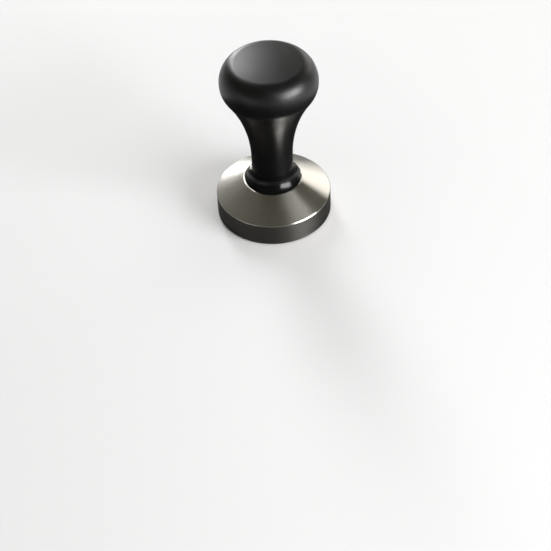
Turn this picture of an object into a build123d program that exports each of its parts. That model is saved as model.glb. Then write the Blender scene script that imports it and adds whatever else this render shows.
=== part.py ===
from build123d import *

import os
from math import asin, atan2, cos, degrees, radians, sin, sqrt, tan

# Espresso tamper, in millimetres.
# The origin is the centre of the sole, the flat face that presses the coffee. +Z runs up the handle.

# ---- driving dimensions -------------------------------------------------------------------------

# Base: a turned piston for a 58 mm basket
base_radius = 29.0
rim_height = 11.9             # corner where the skirt meets the conical shoulder
rim_round = 0.9               # rolled edge on that corner
sole_chamfer = 0.4
seat_height = 20.0            # flat seat that carries the foot of the handle
lip_height = 0.35             # turned lip round the foot, above the seat
lip_width = 0.4
foot_gap = 0.25               # shadow gap between the foot and the lip

# Handle outline: foot, neck, then a round head
foot_radius = 14.3
foot_edge = 0.6               # height of the foot's upright edge
foot_chamfer = 0.25
flare_radius = 10.0           # hollow curve from the foot up to the neck
neck_radius = 10.4
neck_height = 34.0            # the neck starts to widen here
head_radius = 24.1
head_height = 80.2            # widest place of the head
flank_radius = 12.5           # curve below the widest place
shoulder_width = 8.4          # half an ellipse's width, above the widest place
shoulder_rise = 11.2          # half its height
dome_slope = 6.0              # slope of the slightly domed top where it meets the shoulder
parting_height = 75.2         # the knob is a separate piece above this plane
parting_chamfer = 0.08        # broken edges that make the fine parting line

# Screw threads: nominal radius, pitch, and the play between the flanks of nut and screw
stud_thread = (5.0, 1.5, 0.13)
knob_thread = (3.0, 1.0, 0.06)
thread_chamfer = 0.8
ridge_bite = 0.2              # how deep a thread's ridge is sunk in its core

# Mounting stud, locked in the base
stud_bottom = 8.5
stud_length = 30.0
stud_hex = 5.0
stud_hex_depth = 4.5
stud_end_chamfer = 1.3
drill_depth = 7.0             # height at which the drilled hole in the base ends
drill_point = 118.0           # angle of a drill's point
drill_undersize = 0.1         # the drilled end of a blind hole is this much under its thread
drill_overlap = 1.0           # how far the drilled end reaches into the thread
stud_end_gap = 0.5            # thread left free below the stud

# Threaded insert in the foot of the stem
insert_flange_radius = 8.9
insert_flange_height = 2.0
insert_radius = 6.95
insert_top = 36.9
insert_clearance = 0.05
insert_end_gap = 0.1
flange_recess_radius = 9.0
flange_recess_depth = 2.2
knurl_count = 24
knurl_depth = 0.3
knurl_margin = 1.8            # plain part of the insert above and below the knurl
flange_chamfer = 0.3
insert_chamfer = 0.6

# Rubber ring in the foot
ring_radius = 11.5
ring_section = 0.72
ring_lift = 0.02              # its lowest point above the seat
groove_width = 1.8
groove_depth = 1.55

# Joint between stem and knob
bore_radius = 5.75            # lets the screw and its washers pass up the stem
screw_seat = 50.0             # web that the washers bear on
screw_hole_radius = 3.3
spigot_radius = 15.0
spigot_depth = 6.0
spigot_clearance = 0.05
spigot_chamfer = 0.5
pin_radius = 2.0
pin_length = 10.0
pin_spacing = 10.0            # distance of each pin from the axis
pin_clearance = 0.05
pin_chamfer = 0.3

# Knob screw, spring washer and flat washer
screw_length = 35.0
screw_thread_length = 24.0
screw_head_radius = 5.0
screw_head_height = 6.0
screw_hex = 5.0
screw_hex_depth = 3.0
screw_shank_radius = 2.95
screw_head_chamfer = 0.4
screw_tip_chamfer = 0.7
screw_run_out = 0.5           # the thread runs this far into the shank
tapped_depth = 14.75          # tapped hole in the knob, above the spigot's face
flat_washer_radius = 5.5
flat_washer_bore = 3.2
spring_washer_radius = 4.95
spring_washer_bore = 3.05
washer_thickness = 1.6
washer_chamfer = 0.3
split_width = 1.0
split_angle = 20.0

# ---- worked out from the driving dimensions -----------------------------------------------------

socket_floor = parting_height - spigot_depth
screw_head_top = screw_seat - 2 * washer_thickness
screw_bottom = screw_head_top - screw_head_height
screw_tip = screw_head_top + screw_length
stud_top = stud_bottom + stud_length


# ---- curves of the outline ----------------------------------------------------------------------

def on_circle(center, radius, angle):
    """A point on a circle; the angle is in degrees from the +X direction."""
    return (center[0] + radius * cos(radians(angle)), center[1] + radius * sin(radians(angle)))


flank_center = (head_radius - flank_radius, head_height)
shoulder_center = (head_radius - shoulder_width, head_height)

# The neck's long hollow curve starts upright at the neck and meets the flank without a corner.
inset = neck_radius - flank_center[0]
rise = head_height - neck_height
sweep_radius = (inset**2 + rise**2 - flank_radius**2) / (2 * (flank_radius - inset))
sweep_center = (neck_radius + sweep_radius, neck_height)
sweep_angle = degrees(atan2(rise, sweep_center[0] - flank_center[0]))


def flank_angle(height):
    """Where the flank's curve is at this height, as an angle on its circle."""
    return degrees(asin((height - head_height) / flank_radius))


parting_radius = on_circle(flank_center, flank_radius, flank_angle(parting_height))[0]
stem_edge_angle = flank_angle(parting_height - parting_chamfer)
knob_edge_angle = flank_angle(parting_height + parting_chamfer)

# The domed top is one arc, centred on the axis, that meets the shoulder without a corner.
shoulder_angle = degrees(atan2(shoulder_rise, shoulder_width * tan(radians(dome_slope))))
dome_edge_radius = shoulder_center[0] + shoulder_width * cos(radians(shoulder_angle))
dome_edge_height = head_height + shoulder_rise * sin(radians(shoulder_angle))
dome_radius = dome_edge_radius / sin(radians(dome_slope))
dome_center = (0, dome_edge_height - dome_radius * cos(radians(dome_slope)))
top_height = dome_center[1] + dome_radius

# The foot's flare ends upright at the neck.
flare_rise = sqrt(flare_radius**2 - (flare_radius - foot_radius + neck_radius) ** 2)
flare_bottom = seat_height + foot_edge
flare_center = (neck_radius + flare_radius, flare_bottom + flare_rise)
flare_angle = degrees(atan2(-flare_rise, foot_radius - flare_center[0]))


# ---- screw threads ------------------------------------------------------------------------------

def thread(size, crest_radius, root_radius, pitch_line_width, bottom, top):
    """A round core with a 60 degree helical ridge round it.

    Every ridge is in phase with the plane Z = 0, so a nut and a screw of one size mesh.
    """
    nominal_radius, pitch, _ = size
    pitch_radius = nominal_radius - 0.3248 * pitch
    inner_radius = root_radius - ridge_bite
    crest_half = pitch_line_width / 2 - (crest_radius - pitch_radius) * tan(radians(30))
    inner_half = pitch_line_width / 2 + (pitch_radius - inner_radius) * tan(radians(30))
    with BuildPart() as ridge:
        with BuildLine() as path:
            Helix(pitch, top - bottom, pitch_radius, center=(0, 0, bottom))
        with BuildSketch(Plane.XZ):
            with BuildLine():
                Polyline(
                    (inner_radius, bottom - inner_half),
                    (crest_radius, bottom - crest_half),
                    (crest_radius, bottom + crest_half),
                    (inner_radius, bottom + inner_half),
                    close=True,
                )
            make_face()
        sweep(path=path.line, is_frenet=True)
    with BuildPart() as core:
        with BuildSketch(Plane.XY.offset(bottom)):
            Circle(root_radius)
        extrude(amount=top - bottom)
        add(ridge.part.rotate(Axis.Z, 360 * bottom / pitch))
    return core.part


def screw_thread(size, bottom, top):
    """The outside thread of a screw."""
    nominal_radius, pitch, play = size
    crest_radius = nominal_radius - play / 2
    root_radius = nominal_radius - 0.6134 * pitch - play / 4
    return thread(size, crest_radius, root_radius, pitch / 2 - play, bottom, top)


def tapping_radius(size):
    """The radius of the plain hole that a thread of this size is cut in."""
    return size[0] - 0.5413 * size[1]


def nut_thread(size, bottom, top):
    """The threaded hole in a nut, as the solid to cut away: play is added to crests and flanks."""
    nominal_radius, pitch, play = size
    crest_radius = nominal_radius + play / 3
    return thread(size, crest_radius, tapping_radius(size), pitch / 2 + play, bottom, top)


# ---- base ---------------------------------------------------------------------------------------

recess_radius = foot_radius + foot_gap
lip_radius = recess_radius + lip_width
lip_top = seat_height + lip_height
drill_radius = tapping_radius(stud_thread) - drill_undersize
drill_tip = drill_depth - drill_radius / tan(radians(drill_point / 2))
thread_end = stud_bottom - stud_end_gap
stud_mouth = stud_thread[0] + thread_chamfer

with BuildPart() as tamper_base:
    with BuildSketch(Plane.XZ) as base_section:
        with BuildLine():
            Polyline(
                (0, 0),
                (base_radius - sole_chamfer, 0),
                (base_radius, sole_chamfer),
                (base_radius, rim_height),
                (lip_radius, lip_top),
                (recess_radius, lip_top),
                (recess_radius, seat_height),
                (stud_mouth, seat_height),
                (0, seat_height - stud_mouth),
                close=True,
            )
        make_face()
        rim_corner = base_section.vertices().sort_by_distance((base_radius, rim_height))[0]
        fillet(rim_corner, rim_round)
    revolve(axis=Axis.Z)
    add(nut_thread(stud_thread, thread_end, seat_height + 1), mode=Mode.SUBTRACT)
    with BuildSketch(Plane.XZ):
        with BuildLine():
            Polyline(
                (0, drill_tip),
                (drill_radius, drill_depth),
                (drill_radius, thread_end + drill_overlap),
                (0, thread_end + drill_overlap),
                close=True,
            )
        make_face()
    revolve(axis=Axis.Z, mode=Mode.SUBTRACT)
tamper_base.part.label = "tamper_base"

with BuildPart() as mounting_stud:
    add(screw_thread(stud_thread, stud_bottom - stud_thread[1], stud_top + stud_thread[1]))
    with BuildSketch(Plane.XZ):
        with BuildLine():
            Polyline(
                (0, stud_bottom),
                (stud_thread[0] - stud_end_chamfer, stud_bottom),
                (stud_thread[0], stud_bottom + stud_end_chamfer),
                (stud_thread[0], stud_top - stud_end_chamfer),
                (stud_thread[0] - stud_end_chamfer, stud_top),
                (0, stud_top),
                close=True,
            )
        make_face()
    revolve(axis=Axis.Z, mode=Mode.INTERSECT)
    with BuildSketch(Plane.XY.offset(stud_top)):
        RegularPolygon(stud_hex / 2, 6, major_radius=False)
    extrude(amount=-stud_hex_depth, mode=Mode.SUBTRACT)
mounting_stud.part.label = "mounting_stud"


# ---- foot of the handle -------------------------------------------------------------------------

with BuildPart() as foot_o_ring:
    with BuildSketch(Plane.XZ):
        with Locations((ring_radius, seat_height + ring_lift + ring_section)):
            Circle(ring_section)
    revolve(axis=Axis.Z)
foot_o_ring.part.label = "foot_o_ring"

flange_bottom = seat_height + flange_recess_depth - insert_flange_height - insert_clearance
flange_top = flange_bottom + insert_flange_height

with BuildPart() as threaded_insert:
    with BuildSketch(Plane.XZ):
        with BuildLine():
            Polyline(
                (0, flange_bottom + stud_mouth),
                (stud_mouth, flange_bottom),
                (insert_flange_radius - flange_chamfer, flange_bottom),
                (insert_flange_radius, flange_bottom + flange_chamfer),
                (insert_flange_radius, flange_top),
                (insert_radius, flange_top),
                (insert_radius, insert_top - insert_chamfer),
                (insert_radius - insert_chamfer, insert_top),
                (stud_mouth, insert_top),
                (0, insert_top - stud_mouth),
                close=True,
            )
        make_face()
    revolve(axis=Axis.Z)
    add(nut_thread(stud_thread, seat_height - 1, insert_top + 1), mode=Mode.SUBTRACT)
    with BuildSketch(Plane.XY.offset(flange_top + knurl_margin)):
        with PolarLocations(insert_radius, knurl_count):
            RegularPolygon(knurl_depth, 4)
    extrude(amount=insert_top - flange_top - 2 * knurl_margin, mode=Mode.SUBTRACT)
threaded_insert.part.label = "threaded_insert"


# ---- stem ---------------------------------------------------------------------------------------

insert_bore = insert_radius + insert_clearance
insert_bore_top = insert_top + insert_end_gap
socket_radius = spigot_radius + spigot_clearance
groove_inner = ring_radius - groove_width / 2
groove_outer = ring_radius + groove_width / 2
groove_top = seat_height + groove_depth

with BuildPart() as handle_stem:
    with BuildSketch(Plane.XZ):
        with BuildLine():
            Line((foot_radius, seat_height + foot_chamfer), (foot_radius, flare_bottom))
            CenterArc(flare_center, flare_radius, flare_angle, -180 - flare_angle)
            Line((neck_radius, flare_center[1]), (neck_radius, neck_height))
            CenterArc(sweep_center, sweep_radius, 180, -sweep_angle)
            CenterArc(flank_center, flank_radius, -sweep_angle, stem_edge_angle + sweep_angle)
            Polyline(
                on_circle(flank_center, flank_radius, stem_edge_angle),
                (parting_radius - parting_chamfer, parting_height),
                (socket_radius, parting_height),
                (socket_radius, socket_floor),
                (screw_hole_radius, socket_floor),
                (screw_hole_radius, screw_seat),
                (bore_radius, screw_seat),
                (bore_radius, insert_bore_top),
                (insert_bore, insert_bore_top),
                (insert_bore, seat_height + flange_recess_depth),
                (flange_recess_radius, seat_height + flange_recess_depth),
                (flange_recess_radius, seat_height),
                (groove_inner, seat_height),
                (groove_inner, groove_top),
                (groove_outer, groove_top),
                (groove_outer, seat_height),
                (foot_radius - foot_chamfer, seat_height),
                (foot_radius, seat_height + foot_chamfer),
            )
        make_face()
    revolve(axis=Axis.Z)
    with BuildSketch(Plane.XY.offset(socket_floor)):
        with PolarLocations(pin_spacing, 2):
            Circle(pin_radius + pin_clearance)
    extrude(amount=-pin_length / 2 - pin_clearance, mode=Mode.SUBTRACT)
handle_stem.part.label = "handle_stem"


# ---- knob ---------------------------------------------------------------------------------------

knob_face = socket_floor + spigot_clearance
knob_drill_radius = tapping_radius(knob_thread) - drill_undersize
knob_drill_end = knob_face + tapped_depth
knob_drill_tip = knob_drill_end + knob_drill_radius / tan(radians(drill_point / 2))
knob_thread_end = knob_drill_end - drill_overlap
knob_mouth = knob_thread[0] + thread_chamfer / 2

with BuildPart() as knob:
    with BuildSketch(Plane.XZ):
        with BuildLine():
            CenterArc(flank_center, flank_radius, knob_edge_angle, -knob_edge_angle)
            EllipticalCenterArc(shoulder_center, shoulder_width, shoulder_rise, arc_size=shoulder_angle)
            CenterArc(dome_center, dome_radius, 90 - dome_slope, dome_slope)
            Polyline(
                (0, top_height),
                (0, knob_face + knob_mouth),
                (knob_mouth, knob_face),
                (spigot_radius - spigot_chamfer, knob_face),
                (spigot_radius, knob_face + spigot_chamfer),
                (spigot_radius, parting_height),
                (parting_radius - parting_chamfer, parting_height),
                on_circle(flank_center, flank_radius, knob_edge_angle),
            )
        make_face()
    revolve(axis=Axis.Z)
    add(nut_thread(knob_thread, knob_face - 1, knob_thread_end), mode=Mode.SUBTRACT)
    with BuildSketch(Plane.XZ):
        with BuildLine():
            Polyline(
                (0, knob_thread_end - drill_overlap),
                (knob_drill_radius, knob_thread_end - drill_overlap),
                (knob_drill_radius, knob_drill_end),
                (0, knob_drill_tip),
                close=True,
            )
        make_face()
    revolve(axis=Axis.Z, mode=Mode.SUBTRACT)
    with BuildSketch(Plane.XY.offset(knob_face)):
        with PolarLocations(pin_spacing, 2):
            Circle(pin_radius + pin_clearance)
    extrude(amount=pin_length / 2, mode=Mode.SUBTRACT)
knob.part.label = "knob"


# ---- fasteners between stem and knob ------------------------------------------------------------

thread_bottom = screw_tip - screw_thread_length

with BuildPart() as knob_screw:
    add(screw_thread(knob_thread, thread_bottom, screw_tip + knob_thread[1]))
    with BuildSketch(Plane.XZ):
        with BuildLine():
            Polyline(
                (0, thread_bottom),
                (knob_thread[0], thread_bottom),
                (knob_thread[0], screw_tip - screw_tip_chamfer),
                (knob_thread[0] - screw_tip_chamfer, screw_tip),
                (0, screw_tip),
                close=True,
            )
        make_face()
    revolve(axis=Axis.Z, mode=Mode.INTERSECT)
    with BuildSketch(Plane.XZ):
        with BuildLine():
            Polyline(
                (0, screw_bottom),
                (screw_head_radius - screw_head_chamfer, screw_bottom),
                (screw_head_radius, screw_bottom + screw_head_chamfer),
                (screw_head_radius, screw_head_top),
                (screw_shank_radius, screw_head_top),
                (screw_shank_radius, thread_bottom + screw_run_out),
                (0, thread_bottom + screw_run_out),
                close=True,
            )
        make_face()
    revolve(axis=Axis.Z)
    with BuildSketch(Plane.XY.offset(screw_bottom)):
        RegularPolygon(screw_hex / 2, 6, major_radius=False)
    extrude(amount=screw_hex_depth, mode=Mode.SUBTRACT)
knob_screw.part.label = "knob_screw"

with BuildPart() as flat_washer:
    with BuildSketch(Plane.XY.offset(screw_seat - washer_thickness)):
        Circle(flat_washer_radius)
        Circle(flat_washer_bore, mode=Mode.SUBTRACT)
    extrude(amount=washer_thickness)
    chamfer(flat_washer.edges().group_by(Axis.Z)[0].sort_by(SortBy.RADIUS)[-1], washer_chamfer)
flat_washer.part.label = "flat_washer"

with BuildPart() as spring_washer:
    with BuildSketch(Plane.XY.offset(screw_head_top)):
        Circle(spring_washer_radius)
        Circle(spring_washer_bore, mode=Mode.SUBTRACT)
    extrude(amount=washer_thickness)
    with BuildSketch(Plane.XZ.rotated((0, split_angle, 0))):
        with Locations((0, screw_head_top + washer_thickness / 2)):
            Rectangle(split_width, 3 * washer_thickness)
    extrude(amount=2 * spring_washer_radius, mode=Mode.SUBTRACT)
spring_washer.part.label = "spring_washer"

with BuildPart() as locating_pins:
    with BuildSketch(Plane.XY.offset(socket_floor - pin_length / 2)):
        with PolarLocations(pin_spacing, 2):
            Circle(pin_radius)
    extrude(amount=pin_length)
    chamfer(locating_pins.edges(), pin_chamfer)
locating_pins.part.label = "locating_pins"


# ---- write one STEP file for each piece ---------------------------------------------------------

os.makedirs("parts", exist_ok=True)
pieces = [
    tamper_base,
    mounting_stud,
    foot_o_ring,
    handle_stem,
    threaded_insert,
    knob,
    knob_screw,
    spring_washer,
    flat_washer,
    locating_pins,
]
for piece in pieces:
    export_step(piece.part, f"parts/{piece.part.label}.step")
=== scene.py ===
from math import cos, radians, sin

import bpy
from mathutils import Matrix, Vector


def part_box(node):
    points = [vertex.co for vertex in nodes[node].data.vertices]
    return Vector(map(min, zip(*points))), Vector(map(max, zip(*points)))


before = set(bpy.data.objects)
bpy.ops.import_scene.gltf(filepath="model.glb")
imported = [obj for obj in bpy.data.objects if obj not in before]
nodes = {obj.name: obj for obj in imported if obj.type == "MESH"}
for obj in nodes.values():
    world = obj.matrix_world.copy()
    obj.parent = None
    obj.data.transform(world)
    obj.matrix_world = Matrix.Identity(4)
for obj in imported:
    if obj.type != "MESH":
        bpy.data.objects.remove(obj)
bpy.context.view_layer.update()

# Lengths are in metres, angles in degrees and light powers in watts.

# Noise gathers about its middle: this is the part of 0..1 that it mostly fills.
noise_range = (0.3, 0.7)

# The sockets of a Mix node that blends colours. Other kinds of value have sockets of the same names.
first_colour, second_colour, blended_colour = 6, 7, 2


# ---- node helpers -------------------------------------------------------------------------------


def add_node(tree, kind, inputs=None, **settings):
    """A new node, its settings, and its inputs: a socket is linked, anything else is a value."""
    node = tree.nodes.new(kind)
    for key, value in settings.items():
        setattr(node, key, value)
    for key, value in (inputs or {}).items():
        if isinstance(value, bpy.types.NodeSocket):
            tree.links.new(value, node.inputs[key])
        else:
            node.inputs[key].default_value = value
    return node


def combine(tree, operation, first, second):
    """The result of one math node."""
    return add_node(tree, "ShaderNodeMath", {0: first, 1: second}, operation=operation).outputs[0]


def weighted(tree, first, second, share):
    """Two values added: this share of the first, and the rest of the second."""
    part = combine(tree, "MULTIPLY", first, share)
    rest = combine(tree, "MULTIPLY", second, 1 - share)
    return combine(tree, "ADD", part, rest)


def remap(tree, value, target, source=noise_range):
    """value, smoothly brought from the range source to the range target."""
    inputs = {
        "Value": value,
        "From Min": source[0],
        "From Max": source[1],
        "To Min": target[0],
        "To Max": target[1],
    }
    node = add_node(tree, "ShaderNodeMapRange", inputs, interpolation_type="SMOOTHSTEP")
    return node.outputs["Result"]


def mix_colours(tree, factor, first, second):
    """A blend of two colours."""
    inputs = {"Factor": factor, first_colour: (*first, 1), second_colour: (*second, 1)}
    return add_node(tree, "ShaderNodeMix", inputs, data_type="RGBA").outputs[blended_colour]


def two_tone(tree, noise, first, second, source=noise_range):
    """A colour that goes from first to second as the noise goes through its range."""
    return mix_colours(tree, remap(tree, noise, (0.0, 1.0), source), first, second)


def position(tree):
    """The place on the object, in metres, which moves with its body."""
    return add_node(tree, "ShaderNodeTexCoord").outputs["Object"]


def across_turning(tree, place):
    """A length that grows across the lathe's lines on every face: upright, conical and flat."""
    split = add_node(tree, "ShaderNodeSeparateXYZ", {0: place}).outputs
    flat = add_node(tree, "ShaderNodeCombineXYZ", {"X": split["X"], "Y": split["Y"]}).outputs[0]
    radius = add_node(tree, "ShaderNodeVectorMath", {0: flat}, operation="LENGTH").outputs["Value"]
    return combine(tree, "ADD", combine(tree, "MULTIPLY", radius, 2.0), split["Z"])


def lines(tree, across, spacing, detail=2.0):
    """Noise that changes only across the lathe's lines."""
    inputs = {"W": across, "Scale": 1 / spacing, "Detail": detail, "Roughness": 0.6}
    return add_node(tree, "ShaderNodeTexNoise", inputs, noise_dimensions="1D").outputs["Fac"]


def grain(tree, place, size, detail):
    """Noise in all directions, in patches of this size."""
    inputs = {"Vector": place, "Scale": 1 / size, "Detail": detail, "Roughness": 0.55}
    return add_node(tree, "ShaderNodeTexNoise", inputs).outputs["Fac"]


def bump(tree, height, depth):
    """A normal tilted by a height that goes from 0 to 1 over this depth."""
    inputs = {"Height": height, "Distance": depth, "Strength": 1.0}
    return add_node(tree, "ShaderNodeBump", inputs).outputs["Normal"]


def new_material(name, **values):
    """A material, its tree and its shader, with the even values set on the shader's own sockets."""
    material = bpy.data.materials.new(name)
    material.use_nodes = True
    shader = material.node_tree.nodes["Principled BSDF"]
    for key, value in values.items():
        shader.inputs[key.replace("_", " ")].default_value = value
    return material, material.node_tree, shader


def finish_shader(tree, shader, colour, roughness, normal):
    """Links what varies over the surface to the shader."""
    tree.links.new(colour, shader.inputs["Base Color"])
    tree.links.new(roughness, shader.inputs["Roughness"])
    tree.links.new(normal, shader.inputs["Normal"])


# ---- materials ----------------------------------------------------------------------------------


def turned_steel():
    """Satin stainless steel, faced and turned on a lathe.

    Its gloss is spread across the lines of the turning, which gives the fan of light on the cone.
    """
    fine_spacing, broad_spacing, cloud_size = 0.00022, 0.0011, 0.012
    line_depth = 0.0000022
    material, tree, shader = new_material(
        "turned_steel", Metallic=1.0, Anisotropic=0.8, Anisotropic_Rotation=0.25
    )
    tangent = add_node(tree, "ShaderNodeTangent", direction_type="RADIAL", axis="Z")
    tree.links.new(tangent.outputs[0], shader.inputs["Tangent"])
    place = position(tree)
    across = across_turning(tree, place)
    fine = lines(tree, across, fine_spacing)
    broad = lines(tree, across, broad_spacing, detail=3.0)
    clouds = grain(tree, place, cloud_size, detail=3.0)
    marks = weighted(tree, fine, broad, 0.6)
    tone = weighted(tree, marks, clouds, 0.7)
    colour = two_tone(tree, tone, (0.6, 0.58, 0.535), (0.68, 0.66, 0.615))
    line_roughness = remap(tree, marks, (0.22, 0.25))
    cloud_roughness = remap(tree, clouds, (0.0, 0.02))
    roughness = combine(tree, "ADD", line_roughness, cloud_roughness)
    finish_shader(tree, shader, colour, roughness, bump(tree, marks, line_depth))
    return material


def satin_black():
    """Black anodised aluminium with a fine blasted grain, and patches dulled by the hand."""
    grain_size, patch_size = 0.00035, 0.009
    grain_depth = 0.000014
    material, tree, shader = new_material("satin_black", IOR=1.5)
    place = position(tree)
    fine = grain(tree, place, grain_size, detail=3.0)
    handling = grain(tree, place, patch_size, detail=4.0)
    colour = two_tone(
        tree, fine, (0.001, 0.001, 0.0013), (0.0042, 0.0042, 0.0046), source=(0.35, 0.75)
    )
    patch_roughness = remap(tree, handling, (0.32, 0.37))
    grain_roughness = remap(tree, fine, (0.0, 0.05))
    roughness = combine(tree, "ADD", patch_roughness, grain_roughness)
    finish_shader(tree, shader, colour, roughness, bump(tree, fine, grain_depth))
    return material


def smooth_black():
    """The same anodised aluminium, finely turned: satin on the neck and glossier on the foot."""
    line_spacing, patch_size = 0.00025, 0.01
    line_depth = 0.000002
    foot_roughness, neck_roughness = 0.16, 0.32
    stem_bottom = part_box("handle_stem")[0][2]
    gloss_fades = (stem_bottom + 0.002, stem_bottom + 0.014)
    material, tree, shader = new_material("smooth_black", IOR=1.5, Specular_IOR_Level=0.28)
    place = position(tree)
    fine = lines(tree, across_turning(tree, place), line_spacing)
    handling = grain(tree, place, patch_size, detail=4.0)
    height = add_node(tree, "ShaderNodeSeparateXYZ", {0: place}).outputs["Z"]
    colour = two_tone(tree, fine, (0.001, 0.001, 0.0013), (0.003, 0.003, 0.0034))
    foot_to_neck = remap(tree, height, (foot_roughness, neck_roughness), gloss_fades)
    patch_roughness = remap(tree, handling, (0.0, 0.05))
    roughness = combine(tree, "ADD", foot_to_neck, patch_roughness)
    finish_shader(tree, shader, colour, roughness, bump(tree, fine, line_depth))
    return material


def plain_steel():
    """The machined steel of stud, bush, screw, washers and pins, with a trace of oil."""
    line_spacing, stain_size = 0.0003, 0.003
    line_depth = 0.000008
    material, tree, shader = new_material("plain_steel", Metallic=1.0)
    place = position(tree)
    marks = lines(tree, across_turning(tree, place), line_spacing)
    stains = grain(tree, place, stain_size, detail=4.0)
    colour = two_tone(tree, stains, (0.33, 0.33, 0.33), (0.5, 0.5, 0.49), source=(0.35, 0.65))
    stain_roughness = remap(tree, stains, (0.24, 0.36))
    line_roughness = remap(tree, marks, (0.0, 0.08))
    roughness = combine(tree, "ADD", stain_roughness, line_roughness)
    finish_shader(tree, shader, colour, roughness, bump(tree, marks, line_depth))
    return material


def ring_rubber():
    """Matt black rubber, slightly bloomed."""
    grain_size, bloom_size = 0.0002, 0.004
    grain_depth = 0.00001
    material, tree, shader = new_material("ring_rubber", IOR=1.5)
    place = position(tree)
    fine = grain(tree, place, grain_size, detail=3.0)
    bloom = grain(tree, place, bloom_size, detail=4.0)
    colour = two_tone(tree, bloom, (0.012, 0.012, 0.012), (0.028, 0.028, 0.028))
    roughness = remap(tree, bloom, (0.55, 0.7))
    finish_shader(tree, shader, colour, roughness, bump(tree, fine, grain_depth))
    return material


def dress(material, names):
    """Gives the material to these CAD nodes."""
    for name in names:
        mesh = nodes[name].data
        mesh.materials.clear()
        mesh.materials.append(material)


dress(turned_steel(), ["tamper_base"])
dress(satin_black(), ["knob"])
dress(smooth_black(), ["handle_stem"])
dress(
    plain_steel(),
    [
        "mounting_stud",
        "threaded_insert",
        "knob_screw",
        "spring_washer",
        "flat_washer",
        "locating_pins",
    ],
)
dress(ring_rubber(), ["foot_o_ring"])


# ---- floor, light and camera --------------------------------------------------------------------

# Both sheets lie just under the sole, the card above the floor.
card_level, floor_level = -0.0001, -0.0002

# What the soft lights face, about half way up the object.
lit_point = Vector((0, 0, 0.05))


def sheet(name, length, width, centre, turn=0.0):
    """A flat rectangle, turned about its centre."""
    x, y = length / 2, width / 2
    mesh = bpy.data.meshes.new(name)
    mesh.from_pydata([(-x, -y, 0), (x, -y, 0), (x, y, 0), (-x, y, 0)], [], [(0, 1, 2, 3)])
    plane = bpy.data.objects.new(name, mesh)
    plane.location = centre
    plane.rotation_euler.z = radians(turn)
    bpy.context.scene.collection.objects.link(plane)
    return plane


def add_floor():
    """A plain pale floor."""
    size, shade_size = 8.0, 0.3
    material, tree, shader = new_material("pale_floor", Roughness=0.7)
    shade = grain(tree, position(tree), shade_size, detail=2.0)
    tone = mix_colours(tree, shade, (0.61, 0.61, 0.617), (0.63, 0.63, 0.637))
    tree.links.new(tone, shader.inputs["Base Color"])
    floor = sheet("floor", size, size, (0, 0, floor_level))
    floor.data.materials.append(material)


def add_dark_card():
    """A dark card that only the object's gloss sees, as a studio uses to shade a polished side."""
    size = 0.5
    material, _, _ = new_material("dark_card", Base_Color=(0.01, 0.01, 0.01, 1), Roughness=0.8)
    card = sheet("dark_card", size, size, (-0.03, -0.2, card_level), turn=-57)
    card.data.materials.append(material)
    card.visible_camera = False
    card.visible_diffuse = False
    card.visible_shadow = False


def direction(azimuth, elevation):
    """A unit vector; the azimuth goes from +X towards +Y."""
    a, e = radians(azimuth), radians(elevation)
    return Vector((cos(e) * cos(a), cos(e) * sin(a), sin(e)))


def soft_box(name, azimuth, elevation, distance, width, height, power, tint=(1, 1, 1)):
    """A rectangular soft light that faces the object."""
    light = bpy.data.lights.new(name, "AREA")
    light.shape = "RECTANGLE"
    light.size, light.size_y = width, height
    light.energy = power
    light.color = tint
    lamp = bpy.data.objects.new(name, light)
    away = direction(azimuth, elevation)
    lamp.location = away * distance + lit_point
    lamp.rotation_euler = away.to_track_quat("Z", "Y").to_euler()
    bpy.context.scene.collection.objects.link(lamp)
    return lamp


def add_lights():
    """Soft boxes that make the object's highlights, and a wide one overhead for the floor."""
    around = 1.2
    warm = (1.0, 0.97, 0.92)
    soft_box("back_left_strip", 107, 25, around, width=0.3, height=1.0, power=10)
    soft_box("front_right_box", -36, 21, around, width=0.85, height=0.5, power=20)
    soft_box("back_right_box", 55, 15, around, width=0.9, height=0.6, power=2.9, tint=warm)
    soft_box("left_low_box", 222, 5, around, width=1.0, height=0.1, power=0.5)
    overhead = soft_box("overhead_fill", 0, 90, 2.0, width=3.0, height=3.0, power=38)
    overhead.visible_glossy = False


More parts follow.
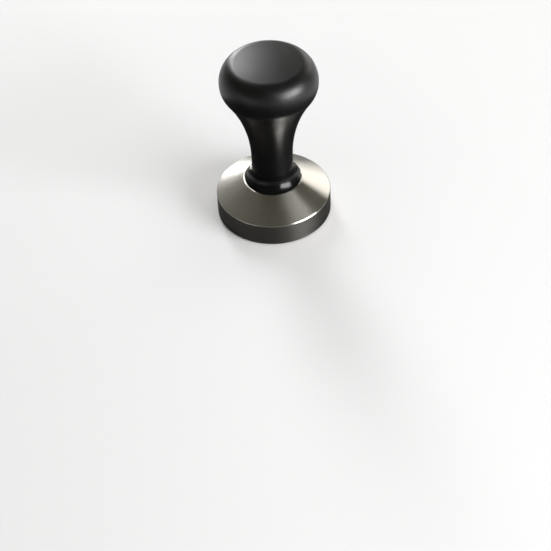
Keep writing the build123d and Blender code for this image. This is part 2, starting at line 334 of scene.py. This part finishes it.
def add_world():
    """A pale room, bright and cool near the floor, dim and warm overhead."""
    near_floor, overhead, behind_object = 0.42, 0.1, 0.85
    cool, warm = (0.98, 0.985, 1.0), (1.0, 0.94, 0.76)
    rising = (0.05, 0.35)
    world = bpy.data.worlds.new("room")
    bpy.context.scene.world = world
    world.use_nodes = True
    tree = world.node_tree
    background = tree.nodes["Background"]
    ray = add_node(tree, "ShaderNodeTexCoord").outputs["Generated"]
    height = add_node(tree, "ShaderNodeSeparateXYZ", {0: ray}).outputs["Z"]
    glow = remap(tree, height, (near_floor, overhead), rising)
    seen = add_node(tree, "ShaderNodeLightPath").outputs["Is Camera Ray"]
    strength = {"Factor": seen, "A": glow, "B": behind_object}
    mixed = add_node(tree, "ShaderNodeMix", strength, data_type="FLOAT")
    tree.links.new(mixed.outputs["Result"], background.inputs["Strength"])
    tree.links.new(two_tone(tree, height, cool, warm, rising), background.inputs["Color"])


def add_camera():
    """A long lens that looks down at the object, as the photograph's does."""
    tilt = radians(44.506)
    roll = radians(2.6)
    distance_to_sole = 0.80627
    # The way from the camera to the sole: right, down and forward in the picture.
    sole_in_view = Vector((-0.002841, -0.044382, 1.0)).normalized()
    forward = Vector((0, cos(tilt), -sin(tilt)))
    level_right = Vector((1, 0, 0))
    level_down = forward.cross(level_right)
    right = level_right * cos(roll) + level_down * sin(roll)
    down = level_down * cos(roll) - level_right * sin(roll)
    to_sole = right * sole_in_view.x + down * sole_in_view.y + forward * sole_in_view.z
    data = bpy.data.cameras.new("camera")
    data.sensor_width = 36
    data.lens = 102.16
    data.shift_x = -0.00606
    data.shift_y = -0.00072
    data.clip_start = 0.01
    camera = bpy.data.objects.new("camera", data)
    axes = Matrix((right, -down, -forward)).transposed().to_4x4()
    camera.matrix_world = Matrix.Translation(-to_sole * distance_to_sole) @ axes
    bpy.context.scene.collection.objects.link(camera)
    bpy.context.scene.camera = camera


add_floor()
add_dark_card()
add_world()
add_lights()
add_camera()
bpy.context.scene.view_settings.view_transform = "Standard"
